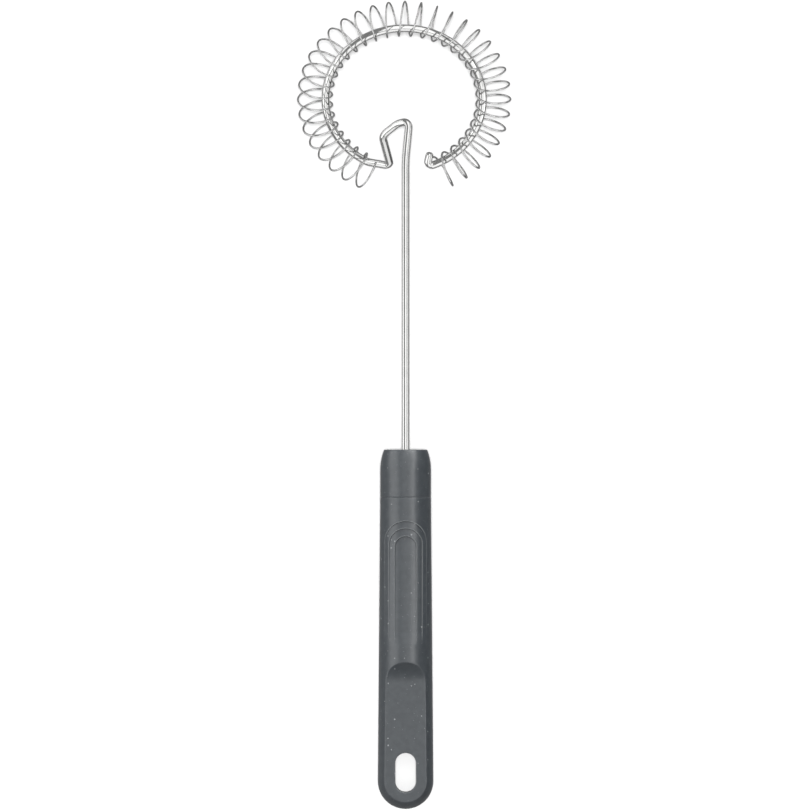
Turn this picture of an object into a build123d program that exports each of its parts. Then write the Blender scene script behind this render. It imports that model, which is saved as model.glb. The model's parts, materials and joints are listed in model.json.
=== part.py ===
from build123d import *
import math
import os

# A spiral whisk. A coil of fine spring wire is threaded loosely on the open ring of
# one bent wire, and the wire's tang is held in a moulded handle of three pieces.
# Lengths are in millimetres. The whisk lies on its back as on a table: +Z is up,
# +Y runs from the handle's tail to the ring, and the origin is on the table under
# the middle of the whole whisk.

# Handle, along its own axis from the tail
grip_length = 103.9
collar_length = 15.85
seam_width = 16.9
tail_width = 18.5
depth_share = 0.87
seam_round = 0.25

# Collar's tapered shoulder
shoulder_length = 6.8
shoulder_radius = 19.0
shoulder_sections = 4
collar_rim_round = 0.45

# Flats on the front and back of the tail, each reached by a scooped ramp
flat_thickness = 10.6
ramp_foot = 42.3
ramp_radius = 10.3
ramp_sweep = 60.0
flat_edge_round = 0.35

# Hang slot through the tail
slot_length = 13.2
slot_width = 6.9
slot_from_tail = 12.2
slot_rim_round = 0.2

# Thumb hollow on the front and back: nested steps, all of which fade and run out together
hollow_run_out = 54.8
hollow_fade = 4.0
hollow_fade_share = 0.4
hollow_tops = (96.0, 93.6, 91.0)
hollow_widths = (13.7, 11.0, 7.2)
hollow_step = 0.42
hollow_lift = 0.06

# Stiff core inside the grip, and its neck inside the collar
core_width = 9.4
core_thickness = 6.2
core_corner = 2.0
core_from_tail = 27.0
core_neck_diameter = 9.0
collar_front_wall = 3.2
mould_gap = 0.03
wire_hole_gap = 0.08

# Frame wire: tang, shaft, neck, ring and turned-in end
frame_wire_diameter = 2.5
tang_length = 56.0
tang_foot = 3.4
tang_bend = 2.4
shaft_length = 109.6
shaft_straight_share = 0.88
shaft_lean = 1.27
shaft_bend = 60.0
top_bend = 1.9
neck_bend = 6.5
neck_side_bend = 3.8
sharp_bend = 1.4
ring_radius = 26.3
ring_tilt = 27.4
ring_shift = 0.47
ring_start_angle = -31.0
ring_end_angle = 23.8
foot_run = 1.5
foot_bend = 6.0
hook_run = 3.45
hook_leg = 5.7
hook_lean = 12.0
hook_tip_round = 0.9

# Corners of the neck, right, up and forward of the ring's centre, in ring radii
top_corner_shares = (0.072, -0.151, 0.315)
neck_corner_shares = (-0.084, -0.227, 0.237)
side_corner_shares = (-0.278, -0.415, 0.202)
foot_corner_shares = (-0.175, -0.942, 0)

# Coil of spring wire
coil_wire_diameter = 0.6
coil_radius = 5.7
coil_seat_gap = 0.65
first_tip_angle = 27.1
last_tip_angle = 333.3
coil_turns = 34
coil_lead_share = 0.44
coil_tail_share = 0.43
arcs_per_turn = 4
points_per_turn = 24

overrun = 5.0

handle_length = grip_length + collar_length
tail_radius = tail_width / 2
flat_level = flat_thickness / 2
coil_centre_radius = (
    ring_radius - frame_wire_diameter / 2 - coil_seat_gap - coil_wire_diameter / 2 + coil_radius
)


def in_ring(right, up, forward):
    """Turns a distance from the ring's own frame into the handle's."""
    tilt = math.radians(ring_tilt)
    along = up * math.cos(tilt) - forward * math.sin(tilt)
    rise = up * math.sin(tilt) + forward * math.cos(tilt)
    return right, along, rise


top_corner = [share * ring_radius for share in top_corner_shares]
neck_corner = [share * ring_radius for share in neck_corner_shares]
side_corner = [share * ring_radius for share in side_corner_shares]
foot_corner = [share * ring_radius for share in foot_corner_shares]
top_offset = in_ring(*top_corner)
ring_centre = (-ring_shift, handle_length + shaft_length - top_offset[1], -top_offset[2])


def coil_place(turn):
    """Right, up and forward of the ring's centre, after so many turns from the first tip."""
    around = math.radians(first_tip_angle + (last_tip_angle - first_tip_angle) * turn / coil_turns)
    wind = math.tau * turn
    reach = coil_centre_radius + coil_radius * math.cos(wind)
    return reach * math.sin(around), -reach * math.cos(around), coil_radius * math.sin(wind)


def coil_course(turn):
    """The coil's direction at that place, as a unit vector."""
    sweep_per_turn = math.radians((last_tip_angle - first_tip_angle) / coil_turns)
    around = math.radians(first_tip_angle) + sweep_per_turn * turn
    wind = math.tau * turn
    reach = coil_centre_radius + coil_radius * math.cos(wind)
    reach_rate = -coil_radius * math.sin(wind) * math.tau
    right = reach_rate * math.sin(around) + reach * math.cos(around) * sweep_per_turn
    up = -reach_rate * math.cos(around) + reach * math.sin(around) * sweep_per_turn
    forward = coil_radius * math.cos(wind) * math.tau
    length = math.sqrt(right**2 + up**2 + forward**2)
    return right / length, up / length, forward / length


# How the whisk lies: the back flat's end and the coil's lowest turns touch the table
coil_samples = [
    coil_place(index / points_per_turn)
    for index in range(
        -round(coil_lead_share * points_per_turn),
        round((coil_turns + coil_tail_share) * points_per_turn) + 1,
    )
]
coil_in_whisk = [
    [offset + centre for offset, centre in zip(in_ring(*sample), ring_centre)]
    for sample in coil_samples
]
tail_depth_radius = tail_radius * depth_share
flat_end = tail_radius * (1 - math.sqrt(1 - (flat_level / tail_depth_radius) ** 2))
lie_angle = max(
    math.atan2(coil_wire_diameter / 2 - flat_level - rise, along - flat_end)
    for right, along, rise in coil_in_whisk
)
lie_cos = math.cos(lie_angle)
lie_sin = math.sin(lie_angle)
table_drop = flat_level * lie_cos - flat_end * lie_sin
front_end = coil_wire_diameter / 2 + max(
    along * lie_cos - rise * lie_sin for right, along, rise in coil_in_whisk
)
tail_end = tail_radius * lie_cos - math.hypot(tail_radius * lie_cos, tail_depth_radius * lie_sin)
left_side = min(right for right, along, rise in coil_in_whisk)
right_side = max(right for right, along, rise in coil_in_whisk)

# The whisk's plane: its x runs right, its y along the handle and its z out of the front
whisk = Plane(
    origin=(-(left_side + right_side) / 2, -(tail_end + front_end) / 2, table_drop),
    x_dir=(1, 0, 0),
    z_dir=(0, -lie_sin, lie_cos),
)
ring_plane = Plane(
    origin=whisk.from_local_coords(ring_centre),
    x_dir=whisk.x_dir,
    z_dir=whisk.z_dir.rotate(Axis((0, 0, 0), whisk.x_dir), ring_tilt),
)
whisk_axis = Axis(whisk.origin, whisk.y_dir)
flat_axis = Axis(whisk.origin, whisk.z_dir)


def across(along):
    """The plane square to the handle, that far from its tail."""
    return Plane(
        origin=whisk.from_local_coords((0, along, 0)), x_dir=whisk.x_dir, z_dir=whisk.y_dir
    )


def grip_radius(along):
    """Half the handle's width, that far from its tail."""
    share = (along - tail_radius) / (grip_length - tail_radius)
    return tail_radius + (seam_width / 2 - tail_radius) * share


def ring_point(right, up, forward=0):
    """A point of space from its place about the ring's centre."""
    return ring_plane.from_local_coords(Vector(right, up, forward))


def on_ring(angle):
    """The place on the ring at an angle from its lowest point, anticlockwise from the front."""
    turn = math.radians(angle)
    return ring_radius * math.sin(turn), -ring_radius * math.cos(turn)


def past_ring_end(angle, run):
    """The place reached by leaving the ring's circle straight on at that angle."""
    right, up = on_ring(angle)
    turn = math.radians(angle)
    return right - run * math.cos(turn), up - run * math.sin(turn)


# Frame wire, from the tang's foot in the core to the turned-in end
foot_bend_corner = past_ring_end(ring_start_angle, -foot_run)
hook_corner = past_ring_end(ring_end_angle, hook_run)
hook_tip = (
    hook_corner[0] + hook_leg * math.sin(math.radians(hook_lean)),
    hook_corner[1] + hook_leg * math.cos(math.radians(hook_lean)),
)
ring_middle_angle = (ring_start_angle + ring_end_angle) / 2 + 180
tang_end = handle_length - tang_length

with BuildPart() as frame_wire:
    with BuildLine() as wire_route:
        FilletPolyline(
            whisk.from_local_coords(Vector(tang_foot, tang_end, 0)),
            whisk.from_local_coords(Vector(0, tang_end, 0)),
            whisk.from_local_coords(Vector(0, handle_length + shaft_length * shaft_straight_share, 0)),
            whisk.from_local_coords(Vector(shaft_lean, handle_length + shaft_length, 0)),
            ring_point(*neck_corner),
            ring_point(*side_corner),
            ring_point(*foot_corner),
            ring_point(*foot_bend_corner),
            ring_point(*on_ring(ring_start_angle)),
            radius=[
                tang_bend, shaft_bend, top_bend, neck_bend, neck_side_bend, sharp_bend, foot_bend
            ],
        )
        ThreePointArc(
            ring_point(*on_ring(ring_start_angle)),
            ring_point(*on_ring(ring_middle_angle)),
            ring_point(*on_ring(ring_end_angle)),
        )
        FilletPolyline(
            ring_point(*on_ring(ring_end_angle)),
            ring_point(*hook_corner),
            ring_point(*hook_tip),
            radius=sharp_bend,
        )
    with BuildSketch(wire_route.line ^ 0):
        Circle(frame_wire_diameter / 2)
    sweep()
    wire_ends = frame_wire.faces().filter_by(GeomType.PLANE)
    hook_end = wire_ends.sort_by_distance(ring_point(*hook_tip))[0]
    fillet(hook_end.edges(), radius=hook_tip_round)

frame_wire.part.label = "frame_wire"

# Whisk coil: one unbroken tube, laid as pairs of tangent arcs from station to station
coil_start = -coil_lead_share
coil_end = coil_turns + coil_tail_share
coil_spans = round((coil_end - coil_start) * arcs_per_turn)
stations = [coil_start + (coil_end - coil_start) * index / coil_spans for index in range(coil_spans + 1)]


def coil_point(turn):
    return ring_point(*coil_place(turn))


def coil_direction(turn):
    return ring_point(*coil_course(turn)) - ring_plane.origin


def arc_between(start, corner, end):
    """The arc that leaves start and meets end along the two equal sides of a corner."""
    half_turn = (corner - start).get_angle(end - corner) / 2
    weight = math.cos(math.radians(half_turn))
    middle = (start + corner * 2 * weight + end) / (2 * (1 + weight))
    ThreePointArc(start, middle, end)


def biarc(first_turn, last_turn):
    """Two arcs that join two stations and leave both along the coil's course."""
    start = coil_point(first_turn)
    end = coil_point(last_turn)
    leaving = coil_direction(first_turn)
    arriving = coil_direction(last_turn)
    span = end - start
    both = span.dot(leaving + arriving)
    spread = 2 * (1 - leaving.dot(arriving))
    side = (math.sqrt(both**2 + spread * span.dot(span)) - both) / spread
    first_corner = start + leaving * side
    last_corner = end - arriving * side
    join = (first_corner + last_corner) / 2
    arc_between(start, first_corner, join)
    arc_between(join, last_corner, end)


with BuildPart() as whisk_coil:
    with BuildLine() as coil_route:
        first_end = coil_point(coil_start)
        last_end = coil_point(coil_end)
        Line(first_end - coil_direction(coil_start) * coil_wire_diameter, first_end)
        for first_turn, last_turn in zip(stations, stations[1:]):
            biarc(first_turn, last_turn)
        Line(last_end, last_end + coil_direction(coil_end) * coil_wire_diameter)
    with BuildSketch(coil_route.line ^ 0):
        Circle(coil_wire_diameter / 2)
    sweep()

whisk_coil.part.label = "whisk_coil"

# Handle core: moulded round the tang, with a round neck that the collar goes on
with BuildPart() as handle_core:
    with BuildSketch(across(core_from_tail)):
        RectangleRounded(core_width, core_thickness, core_corner)
    extrude(amount=grip_length - core_from_tail)
    with BuildSketch(across(grip_length)):
        Circle(core_neck_diameter / 2)
    extrude(amount=collar_length - collar_front_wall)
    add(frame_wire.part, mode=Mode.SUBTRACT)

handle_core.part.label = "handle_core"

# Handle collar: an oval sleeve with a rounded shoulder, bored for the core's neck
shoulder_start = handle_length - shoulder_length


def shoulder_drop(run):
    """How far the shoulder has drawn in, that far along it."""
    return shoulder_radius - math.sqrt(shoulder_radius**2 - run**2)


with BuildPart() as handle_collar:
    with BuildSketch(across(grip_length)):
        Ellipse(seam_width / 2, seam_width / 2 * depth_share)
    extrude(amount=collar_length - shoulder_length)
    for index in range(shoulder_sections + 1):
        run = shoulder_length * index / shoulder_sections
        half_width = seam_width / 2 - shoulder_drop(run)
        with BuildSketch(across(shoulder_start + run)):
            Ellipse(half_width, seam_width / 2 * depth_share - shoulder_drop(run))
    loft()
    front_face = handle_collar.faces().sort_by(whisk_axis)[-1]
    fillet(front_face.edges(), radius=collar_rim_round)
    seam_face = handle_collar.faces().sort_by(whisk_axis)[0]
    fillet(seam_face.edges(), radius=seam_round)
    with BuildSketch(across(grip_length)):
        Circle(core_neck_diameter / 2 + mould_gap)
    extrude(amount=collar_length - collar_front_wall + mould_gap, mode=Mode.SUBTRACT)
    with BuildSketch(across(grip_length)):
        Circle(frame_wire_diameter / 2 + wire_hole_gap)
    extrude(amount=collar_length + overrun, mode=Mode.SUBTRACT)

handle_collar.part.label = "handle_collar"


def hollow_cutter(top, width, depth):
    """What one step of the thumb hollow takes away in front of its sloping floor."""
    length = top - hollow_run_out
    fade_start = hollow_run_out + hollow_fade
    floor = ((top, depth), (fade_start, depth * hollow_fade_share), (hollow_run_out, -hollow_lift))
    with BuildPart() as cutter:
        with BuildSketch(whisk):
            with Locations((0, hollow_run_out + (length - width / 2) / 2)):
                Rectangle(width, length - width / 2)
            with Locations((0, top - width / 2)):
                Circle(width / 2)
        extrude(amount=tail_width)
        for along, sink in floor:
            with BuildSketch(across(along)):
                Ellipse(grip_radius(along) + hollow_lift, grip_radius(along) * depth_share - sink)
        loft(ruled=True, mode=Mode.SUBTRACT)
    return cutter.part


# Handle grip: an oval moulding with a round tail, flats, hang slot and thumb hollows
hollow_cutters = [
    hollow_cutter(top, width, hollow_step * (index + 1))
    for index, (top, width) in enumerate(zip(hollow_tops, hollow_widths))
]

with BuildPart() as handle_grip:
    for along in (tail_radius, grip_length):
        with BuildSketch(across(along)):
            Ellipse(grip_radius(along), grip_radius(along) * depth_share)
    loft(ruled=True)
    with BuildSketch(across(tail_radius)):
        Ellipse(tail_radius, tail_radius * depth_share)
        Rectangle(tail_width, tail_width, align=(Align.MAX, Align.CENTER), mode=Mode.SUBTRACT)
    tail_turn = Axis(whisk.from_local_coords((0, tail_radius, 0)), whisk.z_dir * -1)
    revolve(axis=tail_turn, revolution_arc=180)
    seam_face = handle_grip.faces().sort_by(whisk_axis)[-1]
    fillet(seam_face.edges(), radius=seam_round)
    for cutter in hollow_cutters:
        add(cutter, mode=Mode.SUBTRACT)
        add(cutter.mirror(whisk), mode=Mode.SUBTRACT)
    side_view = Plane(origin=whisk.origin, x_dir=whisk.y_dir, z_dir=whisk.x_dir)
    with BuildSketch(side_view):
        with BuildLine():
            ramp = CenterArc((ramp_foot, flat_level + ramp_radius), ramp_radius, -90, ramp_sweep)
            Polyline(ramp @ 0, (-overrun, flat_level), (-overrun, (ramp @ 1).Y), ramp @ 1)
        make_face()
        mirror(about=Plane.XZ)
    extrude(amount=tail_width, both=True, mode=Mode.SUBTRACT)
    with BuildSketch(whisk):
        with Locations((0, slot_from_tail)):
            SlotOverall(slot_length, slot_width, rotation=90)
    extrude(amount=tail_width, both=True, mode=Mode.SUBTRACT)
    flats = handle_grip.faces().filter_by(flat_axis)
    slot_rims = [rim for flat in flats for rim in flat.inner_wires()[0].edges()]
    fillet(slot_rims, radius=slot_rim_round)
    flats = handle_grip.faces().filter_by(flat_axis)
    flat_edges = ShapeList(edge for flat in flats for edge in flat.outer_wire().edges())
    fillet(flat_edges.filter_by(GeomType.LINE, reverse=True), radius=flat_edge_round)
    with BuildSketch(across(core_from_tail)):
        RectangleRounded(
            core_width + 2 * mould_gap, core_thickness + 2 * mould_gap, core_corner + mould_gap
        )
    extrude(amount=grip_length - core_from_tail + overrun, mode=Mode.SUBTRACT)

handle_grip.part.label = "handle_grip"

os.makedirs("parts", exist_ok=True)
export_step(frame_wire.part, "parts/frame_wire.step")
export_step(whisk_coil.part, "parts/whisk_coil.step")
export_step(handle_core.part, "parts/handle_core.step")
export_step(handle_collar.part, "parts/handle_collar.step")
export_step(handle_grip.part, "parts/handle_grip.step")

# The coil's least gap to itself and to the ring, measured between points of their centre lines
half_turn_points = points_per_turn // 2
least_coil_gap = min(
    math.dist(first, second)
    for index, first in enumerate(coil_samples)
    for second in coil_samples[index + half_turn_points : index + 3 * half_turn_points]
) - coil_wire_diameter
least_ring_gap = min(
    math.hypot(math.hypot(right, up) - ring_radius, forward) for right, up, forward in coil_samples
) - (coil_wire_diameter + frame_wire_diameter) / 2
print(f"coil's least gap to itself {least_coil_gap:.2f}, to the ring {least_ring_gap:.2f}")
print(f"whisk lies at {math.degrees(lie_angle):.2f} degrees, whisk origin {whisk.origin}")
print(f"ring centre {ring_plane.origin}, ring normal {ring_plane.z_dir}")
print(f"slot centre {whisk.from_local_coords((0, slot_from_tail, 0))}, across {whisk.z_dir}")
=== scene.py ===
import json
from math import pi, radians, tan

import bpy
from mathutils import Matrix, Vector

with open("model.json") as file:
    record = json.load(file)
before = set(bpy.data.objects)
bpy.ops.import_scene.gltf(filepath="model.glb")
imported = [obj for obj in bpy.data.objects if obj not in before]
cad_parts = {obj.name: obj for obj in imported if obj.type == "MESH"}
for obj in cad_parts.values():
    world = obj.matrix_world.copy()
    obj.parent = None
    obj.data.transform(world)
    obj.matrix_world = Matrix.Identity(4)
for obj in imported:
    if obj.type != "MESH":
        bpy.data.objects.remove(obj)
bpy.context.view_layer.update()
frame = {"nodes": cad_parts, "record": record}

# A spiral whisk seen square to its handle, in a bright studio. Lengths are in metres.
MM = 0.001

# The photograph's frame, in pixels of a square picture, and where the hang slot's middle is in it
PICTURE_SIDE = 810.0
PIXELS_PER_MM = 3.0
SLOT_PIXEL = (405.6, 772.3)

# The camera is far off with a long lens, so that it sees nearly in parallel
CAMERA_DISTANCE = 4.0
SENSOR_WIDTH = 36.0

# From the hang slot to the top of the thumb hollow's middle step, and how far round it the highlight
# painted on the steps' tops reaches
HOLLOW_FROM_SLOT = 81.4 * MM
LIP_HIGHLIGHT_REACH = (6.0 * MM, 12.0 * MM)

# How wide the handle's sharp edges are softened in shading, and how wide the highlight painted along them
# reaches
EDGE_SOFTENING = 0.4 * MM
EDGE_HIGHLIGHT_WIDTH = 0.4 * MM

# Colours of the handle's plastic and of the highlights painted on its edges, of its core, of the two wires
# and of the floor
BODY_DARK = (0.039, 0.045, 0.051, 1.0)
BODY_LIGHT = (0.048, 0.055, 0.061, 1.0)
FLECK = (0.24, 0.25, 0.26, 1.0)
EDGE_HIGHLIGHT = (0.11, 0.12, 0.127, 1.0)
LIP_HIGHLIGHT = (0.6, 0.62, 0.63, 1.0)
CORE_DARK = (0.012, 0.013, 0.014, 1.0)
CORE_LIGHT = (0.024, 0.026, 0.028, 1.0)
WIRE_TINT = (0.58, 0.58, 0.575)
SPRING_TINT = (0.52, 0.52, 0.517)
FLOOR_GREY = (0.52, 0.52, 0.52, 1.0)
WHITE = (1.0, 1.0, 1.0, 1.0)

# How rough each wire and plastic is
WIRE_ROUGHNESS = 0.1
SPRING_ROUGHNESS = 0.2
PLASTIC_ROUGHNESS = 0.32
CORE_ROUGHNESS = 0.5
FLOOR_ROUGHNESS = 0.9
FLOOR_SIZE = 8.0

# Each light panel over the handle: degrees to the right of the handle's front and toward the ring,
# half its width and half its length in degrees, and its brightness
HANDLE_PANELS = (
    (-53.0, 30.0, 21.0, 48.0, 2.2),
    (2.0, 30.0, 20.0, 48.0, 1.12),
    (33.0, 30.0, 9.0, 48.0, 4.0),
    (20.0, 46.0, 18.0, 7.0, 3.0),
    (18.0, 66.0, 20.0, 14.0, 2.2),
)
# The same for the panels that the wires mirror, the last four of them behind the handle's tail
WIRE_PANELS = (
    (-102.0, 30.0, 14.0, 48.0, 0.8),
    (-73.0, 30.0, 13.0, 48.0, 1.3),
    (6.0, 30.0, 24.0, 48.0, 1.55),
    (57.0, 30.0, 13.0, 48.0, 1.25),
    (98.0, 30.0, 14.0, 48.0, 0.75),
    (-62.0, -50.0, 14.0, 24.0, 1.2),
    (5.0, -50.0, 24.0, 24.0, 1.4),
    (62.0, -50.0, 14.0, 24.0, 1.1),
    (20.0, -90.0, 45.0, 14.0, 1.1),
)
PANEL_DISTANCE = 1.2

# The surround's brightness, and what it falls to at the far right
SURROUND = 0.33
SURROUND_RIGHT = 0.05

# The lights over the floor alone: how far off, and for each half its angle and its brightness
FLOOR_LIGHT_DISTANCE = 8.0
FLOOR_LIGHTS = ((2.0, 900.0), (25.0, 3.0))

# The handle's own directions, taken from the hang slot
slot_mount = next(mount for mount in frame["record"]["mounts"] if mount["name"] == "hang_slot")
slot_place = Vector(slot_mount["pos_m"])
front = Vector(slot_mount["axis"]).normalized()
right = Vector((1.0, 0.0, 0.0))
up = front.cross(right)

# What the middle of the picture looks at
middle = PICTURE_SIDE / 2.0
aim = (
    slot_place
    + right * (middle - SLOT_PIXEL[0]) / PIXELS_PER_MM * MM
    + up * (SLOT_PIXEL[1] - middle) / PIXELS_PER_MM * MM
)


def new_material(name):
    """A material with its node tree, its shader and the place of each point of its object."""
    material = bpy.data.materials.new(name)
    material.use_nodes = True
    tree = material.node_tree
    shader = tree.nodes["Principled BSDF"]
    place = tree.nodes.new("ShaderNodeTexCoord").outputs["Object"]
    return material, tree, shader, place


def add_node(tree, kind, inputs=None, **settings):
    """A new node with its settings and inputs, each of which is a value or another node's output."""
    node = tree.nodes.new(kind)
    for key, value in settings.items():
        setattr(node, key, value)
    for key, value in (inputs or {}).items():
        if isinstance(value, bpy.types.NodeSocket):
            tree.links.new(value, node.inputs[key])
        else:
            node.inputs[key].default_value = value
    return node


def noise(tree, place, scale, detail, **settings):
    """How high an uneven pattern stands at each place."""
    inputs = {"Vector": place, "Scale": scale, "Detail": detail}
    return add_node(tree, "ShaderNodeTexNoise", inputs, **settings).outputs["Fac"]


def spread(tree, value, start, end, low, high):
    """A value that runs from low to high while this one runs from start to end."""
    inputs = {"Value": value, "From Min": start, "From Max": end, "To Min": low, "To Max": high}
    return add_node(tree, "ShaderNodeMapRange", inputs).outputs["Result"]


def calculate(tree, operation, first, second):
    """One sum of two values."""
    node = add_node(tree, "ShaderNodeMath", {0: first, 1: second}, operation=operation)
    return node.outputs["Value"]


def compare(tree, operation, first, second):
    """One number from two vectors."""
    node = add_node(tree, "ShaderNodeVectorMath", {0: first, 1: second}, operation=operation)
    return node.outputs["Value"]


def two_tones(tree, value, start, end, first, second):
    """A colour that runs from the first to the second between two heights of a pattern."""
    node = add_node(tree, "ShaderNodeValToRGB", {"Fac": value})
    for element, position, colour in zip(node.color_ramp.elements, (start, end), (first, second)):
        element.position = position
        element.color = colour
    return node.outputs["Color"]


def mix(tree, factor, first, second):
    """A mix of two colours."""
    inputs = {"Factor": factor, "A": first, "B": second}
    return add_node(tree, "ShaderNodeMix", inputs, data_type="RGBA").outputs["Result"]


def wire_steel(name, tint, roughness):
    """Drawn stainless wire: a bright, slightly uneven metal."""
    material, tree, shader, place = new_material(name)
    patches = noise(tree, place, 220.0, 3.0)
    dull = [value * 0.9 for value in tint] + [1.0]
    bright = list(tint) + [1.0]
    tree.links.new(two_tones(tree, patches, 0.3, 0.75, dull, bright), shader.inputs["Base Color"])
    gloss = spread(tree, patches, 0.0, 1.0, roughness * 0.75, roughness * 1.35)
    tree.links.new(gloss, shader.inputs["Roughness"])
    shader.inputs["Metallic"].default_value = 1.0
    return material


def with_flecks(tree, place, body):
    """The body's colour with small ragged light flecks, one in some of its cells."""
    moved = add_node(tree, "ShaderNodeMapping", {"Vector": place, "Location": (0.0131, 0.0078, 0.0052)})
    cells = add_node(tree, "ShaderNodeTexVoronoi", {"Vector": moved.outputs["Vector"], "Scale": 900.0})
    chosen = add_node(tree, "ShaderNodeSeparateColor", {"Color": cells.outputs["Color"]})
    size = spread(tree, chosen.outputs["Red"], 0.84, 1.0, 0.12, 0.46)
    reach = calculate(tree, "MULTIPLY", size, noise(tree, place, 3500.0, 1.0))
    inside = calculate(tree, "LESS_THAN", cells.outputs["Distance"], reach)
    return mix(tree, inside, body, FLECK)


def with_painted_highlights(tree, place, colour, edge_normal):
    """The colour with highlights painted along its edges, brightest on the tops of the thumb hollow's
    steps where they face the tail.
    """
    edge_highlight_reach = {"Distance": EDGE_HIGHLIGHT_WIDTH}
    # Painted highlight: convex edges, found by rays cast inward, are given a paler colour
    inward = add_node(tree, "ShaderNodeAmbientOcclusion", edge_highlight_reach, inside=True, only_local=True, samples=8)
    edge_highlight_mask = spread(tree, inward.outputs["AO"], 1.0, 0.5, 0.0, 1.0)
    # Painted highlight: edges that face the tail near the hollow's steps are painted paler still
    toward_tail = spread(tree, compare(tree, "DOT_PRODUCT", edge_normal, -up), 0.25, 0.6, 0.0, 1.0)
    from_step_tops = compare(tree, "DISTANCE", place, slot_place + up * HOLLOW_FROM_SLOT)
    near_step_tops = spread(tree, from_step_tops, *LIP_HIGHLIGHT_REACH, 1.0, 0.0)
    lip_highlight_mask = calculate(tree, "MULTIPLY", toward_tail, near_step_tops)
    return mix(tree, edge_highlight_mask, colour, mix(tree, lip_highlight_mask, EDGE_HIGHLIGHT, LIP_HIGHLIGHT))


def speckled_plastic(name):
    """Slate-grey satin plastic with small light flecks, a fine moulded grain and highlights painted along
    its edges.
    """
    material, tree, shader, place = new_material(name)
    soft_edge = add_node(tree, "ShaderNodeBevel", {"Radius": EDGE_SOFTENING}, samples=6)
    edge_normal = soft_edge.outputs["Normal"]
    body = two_tones(tree, noise(tree, place, 500.0, 4.0), 0.35, 0.7, BODY_DARK, BODY_LIGHT)
    colour = with_painted_highlights(tree, place, with_flecks(tree, place, body), edge_normal)
    tree.links.new(colour, shader.inputs["Base Color"])
    grain = noise(tree, place, 3500.0, 2.0)
    bump_inputs = {"Height": grain, "Normal": edge_normal, "Strength": 0.05, "Distance": 0.1 * MM}
    bump = add_node(tree, "ShaderNodeBump", bump_inputs)
    tree.links.new(bump.outputs["Normal"], shader.inputs["Normal"])
    shader.inputs["Roughness"].default_value = PLASTIC_ROUGHNESS
    shader.inputs["IOR"].default_value = 1.55
    return material


def core_plastic(name):
    """The core's unfilled dark plastic, dull, with faint flow marks."""
    material, tree, shader, place = new_material(name)
    flow = add_node(
        tree, "ShaderNodeTexNoise", {"Vector": place, "Scale": 90.0, "Detail": 5.0, "Distortion": 0.6}
    )
    body = two_tones(tree, flow.outputs["Fac"], 0.0, 1.0, CORE_DARK, CORE_LIGHT)
    tree.links.new(body, shader.inputs["Base Color"])
    shader.inputs["Roughness"].default_value = CORE_ROUGHNESS
    return material


def dress(material, *nodes):
    """Gives CAD nodes their material."""
    for node in nodes:
        piece = frame["nodes"][node]
        piece.data.materials.clear()
        piece.data.materials.append(material)


def turned(across, along, toward):
    """A rotation whose X, Y and Z are these three directions."""
    return Matrix((across, along, toward)).transposed().to_euler()


def build_camera():
    """A long lens square to the handle's flats, with the photograph's frame."""
    data = bpy.data.cameras.new("camera")
    data.sensor_width = SENSOR_WIDTH
    data.lens = SENSOR_WIDTH * CAMERA_DISTANCE / (PICTURE_SIDE / PIXELS_PER_MM * MM)
    camera = bpy.data.objects.new("camera", data)
    bpy.context.scene.collection.objects.link(camera)
    camera.rotation_euler = turned(right, up, front)
    camera.location = aim + front * CAMERA_DISTANCE
    bpy.context.scene.camera = camera


def build_floor():
    """A plain pale floor under the whisk, which nothing mirrors."""
    bpy.ops.mesh.primitive_plane_add(size=FLOOR_SIZE, location=(0, 0, 0))
    floor = bpy.context.object
    floor.name = "floor"
    material, _, shader, _ = new_material("floor")
    shader.inputs["Base Color"].default_value = FLOOR_GREY
    shader.inputs["Roughness"].default_value = FLOOR_ROUGHNESS
    floor.data.materials.append(material)
    floor.visible_glossy = False
    return floor


def hang_panel(name, swing, distance, half_width, half_length, brightness):
    """A soft panel facing the whisk, that far off and swung that way from the handle's front."""
    data = bpy.data.lights.new(name, "AREA")
    data.shape = "RECTANGLE"
    data.size = 2.0 * distance * tan(radians(half_width))
    data.size_y = 2.0 * distance * tan(radians(half_length))
    data.energy = brightness * pi * data.size * data.size_y
    panel = bpy.data.objects.new(name, data)
    bpy.context.scene.collection.objects.link(panel)
    panel.location = aim + swing @ front * distance
    panel.rotation_euler = turned(swing @ right, swing @ up, swing @ front)
    return panel


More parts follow.
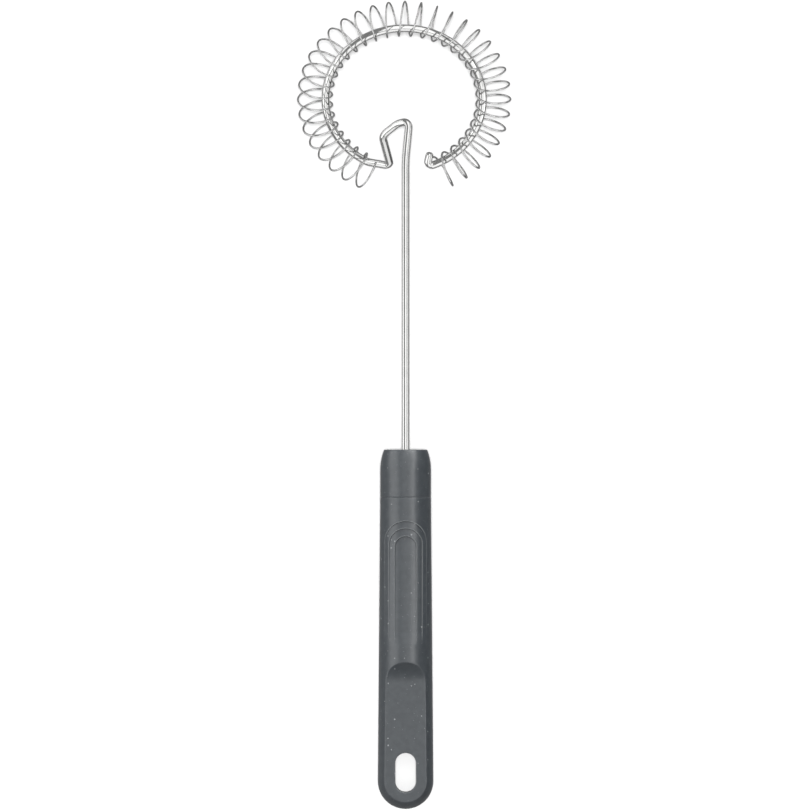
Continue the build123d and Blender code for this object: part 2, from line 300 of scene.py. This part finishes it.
def light_only(lamps, name, *receivers):
    """Keeps these lamps' light to these objects."""
    group = bpy.data.collections.new(name)
    for receiver in receivers:
        group.objects.link(receiver)
    for lamp in lamps:
        lamp.light_linking.receiver_collection = group


def build_panels(name, panels):
    """Long soft panels over the whisk, side by side across it."""
    hung = []
    for sideways, forward, half_width, half_length, brightness in panels:
        lean = Matrix.Rotation(-radians(forward), 3, right)
        swing = lean @ Matrix.Rotation(radians(sideways), 3, up)
        hung.append(hang_panel(name, swing, PANEL_DISTANCE, half_width, half_length, brightness))
    return hung


def build_floor_lights():
    """A small light straight over the floor, whose shadows hide under the whisk, and a wide soft one."""
    return [
        hang_panel("floor_light", Matrix.Identity(3), FLOOR_LIGHT_DISTANCE, angle, angle, brightness)
        for angle, brightness in FLOOR_LIGHTS
    ]


def build_surround():
    """A grey surround that falls darker to the right."""
    world = bpy.data.worlds.new("studio")
    bpy.context.scene.world = world
    world.use_nodes = True
    tree = world.node_tree
    direction = tree.nodes.new("ShaderNodeTexCoord").outputs["Generated"]
    sideways = compare(tree, "DOT_PRODUCT", direction, right)
    background = tree.nodes["Background"]
    background.inputs["Color"].default_value = WHITE
    strength = spread(tree, sideways, 0.5, 0.95, SURROUND, SURROUND_RIGHT)
    tree.links.new(strength, background.inputs["Strength"])
    bpy.context.scene.view_settings.view_transform = "Standard"


handle_nodes = ("handle_grip", "handle_collar")
dress(wire_steel("polished_wire", WIRE_TINT, WIRE_ROUGHNESS), "frame_wire")
dress(wire_steel("spring_wire", SPRING_TINT, SPRING_ROUGHNESS), "whisk_coil")
dress(speckled_plastic("speckled_plastic"), *handle_nodes)
dress(core_plastic("core_plastic"), "handle_core")

floor = build_floor()
handle = [frame["nodes"][node] for node in (*handle_nodes, "handle_core")]
wires = [frame["nodes"][node] for node in ("frame_wire", "whisk_coil")]
light_only(build_panels("handle_panel", HANDLE_PANELS), "handle_only", *handle)
light_only(build_panels("wire_panel", WIRE_PANELS), "wires_only", *wires)
light_only(build_floor_lights(), "floor_only", floor)
build_surround()
build_camera()
